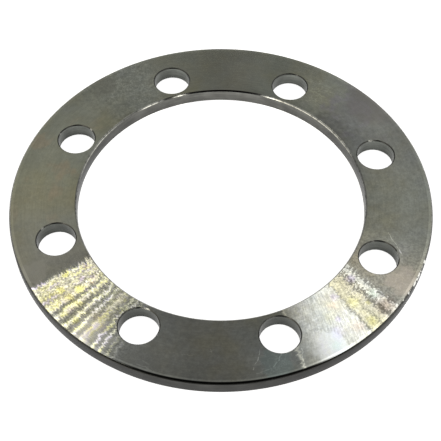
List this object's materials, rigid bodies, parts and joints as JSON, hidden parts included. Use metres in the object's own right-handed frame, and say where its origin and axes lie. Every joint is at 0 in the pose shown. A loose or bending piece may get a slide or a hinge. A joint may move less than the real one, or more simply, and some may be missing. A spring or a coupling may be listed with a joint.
{
  "type": "pipe flange",
  "caption": "Flat steel ring flange with a wide plain bore and a circle of bolt holes, for bolting between two pipe flanges.",
  "frame": {"origin": "centre of the bore on the lower face", "axes": "+Z along the bore axis, out of the upper face; the bolt holes straddle X and Y"},
  "size_m": [0.2, 0.2, 0.0075],
  "materials": {
    "turned_steel": "bright turned, with fine concentric tool marks, lightly smudged and scratched"
  },
  "bodies": {
    "root": {"ring_flange": "turned_steel"}
  },
  "joints": []
}
